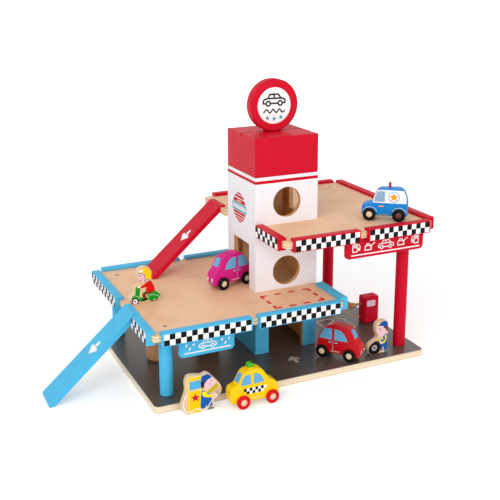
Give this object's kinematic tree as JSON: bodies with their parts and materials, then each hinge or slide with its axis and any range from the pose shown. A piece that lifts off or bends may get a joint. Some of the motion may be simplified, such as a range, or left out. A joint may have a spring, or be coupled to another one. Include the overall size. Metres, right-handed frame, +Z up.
{
  "type": "toy garage",
  "caption": "Wooden two-deck toy parking garage with lift tower, ramps, car wash, fuel pump, four rolling cars and three flat figures.",
  "frame": {"origin": "Centre of the base board's underside, where the toy stands on the floor.", "axes": "X runs to the right along the front edge, Y from the front to the rear, Z up."},
  "size_m": [0.607, 0.351, 0.4462],
  "materials": {
    "birch_ply": "clear satin lacquer over birch ply",
    "base_print": "glossy dark grey-brown print on ply, pale edges",
    "blue_paint": "opaque light blue toy paint, satin",
    "red_paint": "opaque red toy paint, satin",
    "white_paint": "opaque white toy paint, satin",
    "turned_wood": "bare turned wood, waxed",
    "waxed_string": "thin twisted string",
    "yellow_paint": "opaque yellow toy paint, gloss",
    "pink_paint": "opaque pink toy paint, gloss",
    "deep_blue_paint": "opaque deep blue toy paint, gloss",
    "black_paint": "opaque black toy paint, satin",
    "figure_ply": "bare ply with a colour print on the front"
  },
  "bodies": {
    "garage": {"base_board": "base_print", "lower_deck": "birch_ply", "upper_deck": "birch_ply", "blue_rail_front_left": "blue_paint", "blue_rail_front_right": "blue_paint", "blue_rail_rear_left": "blue_paint", "blue_rail_rear_right": "blue_paint", "blue_rail_left_front": "blue_paint", "blue_rail_left_rear": "blue_paint", "blue_rail_right_front": "blue_paint", "blue_rail_right_rear": "blue_paint", "red_rail_front_left": "red_paint", "red_rail_front_right": "red_paint", "red_rail_rear_left": "red_paint", "red_rail_rear_right": "red_paint", "red_rail_left": "red_paint", "red_rail_right": "red_paint", "blue_post_front": "blue_paint", "blue_post_rear": "blue_paint", "red_post_front": "red_paint", "red_post_rear": "red_paint", "garage_wall_front": "blue_paint", "garage_wall_rear": "blue_paint", "garage_wall_left": "blue_paint", "garage_wall_right": "blue_paint", "tower_wall_front": "white_paint", "tower_wall_rear": "white_paint", "tower_wall_left": "white_paint", "tower_wall_right": "white_paint", "tower_cap": "red_paint", "sign_disc": "red_paint", "wash_sign": "blue_paint", "fuel_sign": "red_paint", "pump_body": "red_paint"},
    "blue_ramp": {"blue_ramp": "blue_paint"},
    "red_ramp": {"red_ramp": "red_paint"},
    "lift": {"lift_cab": "birch_ply"},
    "wash_roller_left": {"wash_roller_left": "turned_wood"},
    "wash_roller_right": {"wash_roller_right": "turned_wood"},
    "nozzle": {"pump_nozzle": "turned_wood", "pump_hose": "waxed_string"},
    "red_car": {"red_car_body": "red_paint"},
    "red_car_front_wheels": {"red_car_front_wheels": "black_paint"},
    "red_car_rear_wheels": {"red_car_rear_wheels": "black_paint"},
    "taxi": {"taxi_body": "yellow_paint"},
    "taxi_front_wheels": {"taxi_front_wheels": "red_paint"},
    "taxi_rear_wheels": {"taxi_rear_wheels": "red_paint"},
    "police_van": {"police_van_body": "deep_blue_paint"},
    "police_van_front_wheels": {"police_van_front_wheels": "black_paint"},
    "police_van_rear_wheels": {"police_van_rear_wheels": "black_paint"},
    "pink_car": {"pink_car_body": "pink_paint"},
    "pink_car_front_wheels": {"pink_car_front_wheels": "black_paint"},
    "pink_car_rear_wheels": {"pink_car_rear_wheels": "black_paint"},
    "attendant": {"attendant": "figure_ply"},
    "mechanic": {"mechanic": "figure_ply"},
    "scooter_rider": {"scooter_rider": "figure_ply"}
  },
  "joints": [
    {"name": "blue_ramp_tilt", "type": "hinge", "parent": "garage", "child": "blue_ramp", "pos_m": [-0.221, -0.041, 0.1173], "axis": [0, 1, 0], "range_deg": [0, 70]},
    {"name": "red_ramp_tilt", "type": "hinge", "parent": "garage", "child": "red_ramp", "pos_m": [-0.023, 0.099, 0.2258], "axis": [0, 1, 0], "range_deg": [0, 70]},
    {"name": "lift_travel", "type": "slide", "parent": "garage", "child": "lift", "axis": [0, 0, 1], "range_m": [-0.0995, 0.1085]},
    {"name": "wash_roller_left_spin", "type": "hinge", "parent": "garage", "child": "wash_roller_left", "pos_m": [-0.172, 0.005, 0.06], "axis": [0, 0, 1], "continuous": true},
    {"name": "wash_roller_right_spin", "type": "hinge", "parent": "garage", "child": "wash_roller_right", "pos_m": [-0.088, 0.005, 0.06], "axis": [0, 0, 1], "continuous": true},
    {"name": "nozzle_pull", "type": "slide", "parent": "garage", "child": "nozzle", "axis": [-1, 0, 0], "range_m": [0, 0.012]},
    {"name": "red_car_roll", "type": "slide", "parent": "garage", "child": "red_car", "axis": [0.6108, -0.7918, 0], "range_m": [-0.02, 0.005]},
    {"name": "red_car_front_wheels_turn", "type": "hinge", "parent": "red_car", "child": "red_car_front_wheels", "pos_m": [0.10309, -0.13146, 0.02155], "axis": [0.7918, 0.6108, 0], "range_deg": [-127, 43]},
    {"name": "red_car_rear_wheels_turn", "type": "hinge", "parent": "red_car", "child": "red_car_rear_wheels", "pos_m": [0.07499, -0.09504, 0.02155], "axis": [0.7918, 0.6108, 0], "range_deg": [-127, 43]},
    {"name": "taxi_roll", "type": "slide", "parent": "garage", "child": "taxi", "axis": [-1, 0, 0], "range_m": [-0.12, 0.005]},
    {"name": "taxi_front_wheels_turn", "type": "hinge", "parent": "taxi", "child": "taxi_front_wheels", "pos_m": [-0.1103, -0.17495, 0.01055], "axis": [0, -1, 0], "range_deg": [-686, 43]},
    {"name": "taxi_rear_wheels_turn", "type": "hinge", "parent": "taxi", "child": "taxi_rear_wheels", "pos_m": [-0.0643, -0.17495, 0.01055], "axis": [0, -1, 0], "range_deg": [-686, 43]},
    {"name": "police_van_roll", "type": "slide", "parent": "garage", "child": "police_van", "axis": [-0.7948, 0.6069, 0], "range_m": [-0.005, 0.05]},
    {"name": "police_van_front_wheels_turn", "type": "hinge", "parent": "police_van", "child": "police_van_front_wheels", "pos_m": [0.15704, -0.08692, 0.23605], "axis": [-0.6069, -0.7948, 0], "range_deg": [-43, 295]},
    {"name": "police_van_rear_wheels_turn", "type": "hinge", "parent": "police_van", "child": "police_van_rear_wheels", "pos_m": [0.1936, -0.11484, 0.23605], "axis": [-0.6069, -0.7948, 0], "range_deg": [-43, 295]},
    {"name": "pink_car_roll", "type": "slide", "parent": "garage", "child": "pink_car", "axis": [-0.973, -0.231, 0], "range_m": [0, 0.06]},
    {"name": "pink_car_front_wheels_turn", "type": "hinge", "parent": "pink_car", "child": "pink_car_front_wheels", "pos_m": [-0.07048, -0.00693, 0.12755], "axis": [0.231, -0.973, 0], "range_deg": [-15, 351]},
    {"name": "pink_car_rear_wheels_turn", "type": "hinge", "parent": "pink_car", "child": "pink_car_rear_wheels", "pos_m": [-0.02572, 0.00369, 0.12755], "axis": [0.231, -0.973, 0], "range_deg": [-15, 351]},
    {"name": "attendant_lift", "type": "slide", "parent": "garage", "child": "attendant", "axis": [0, 0, 1], "range_m": [0, 0.05]},
    {"name": "mechanic_lift", "type": "slide", "parent": "garage", "child": "mechanic", "axis": [0, 0, 1], "range_m": [0, 0.05]},
    {"name": "scooter_rider_lift", "type": "slide", "parent": "garage", "child": "scooter_rider", "axis": [0, 0, 1], "range_m": [0, 0.05]}
  ],
  "couplings": [
    {"joint": "red_car_front_wheels_turn", "follows": "red_car_roll", "rad_per_m": 97.561},
    {"joint": "red_car_rear_wheels_turn", "follows": "red_car_roll", "rad_per_m": 97.561},
    {"joint": "taxi_front_wheels_turn", "follows": "taxi_roll", "rad_per_m": 97.561},
    {"joint": "taxi_rear_wheels_turn", "follows": "taxi_roll", "rad_per_m": 97.561},
    {"joint": "police_van_front_wheels_turn", "follows": "police_van_roll", "rad_per_m": 97.561},
    {"joint": "police_van_rear_wheels_turn", "follows": "police_van_roll", "rad_per_m": 97.561},
    {"joint": "pink_car_front_wheels_turn", "follows": "pink_car_roll", "rad_per_m": 97.561},
    {"joint": "pink_car_rear_wheels_turn", "follows": "pink_car_roll", "rad_per_m": 97.561}
  ]
}
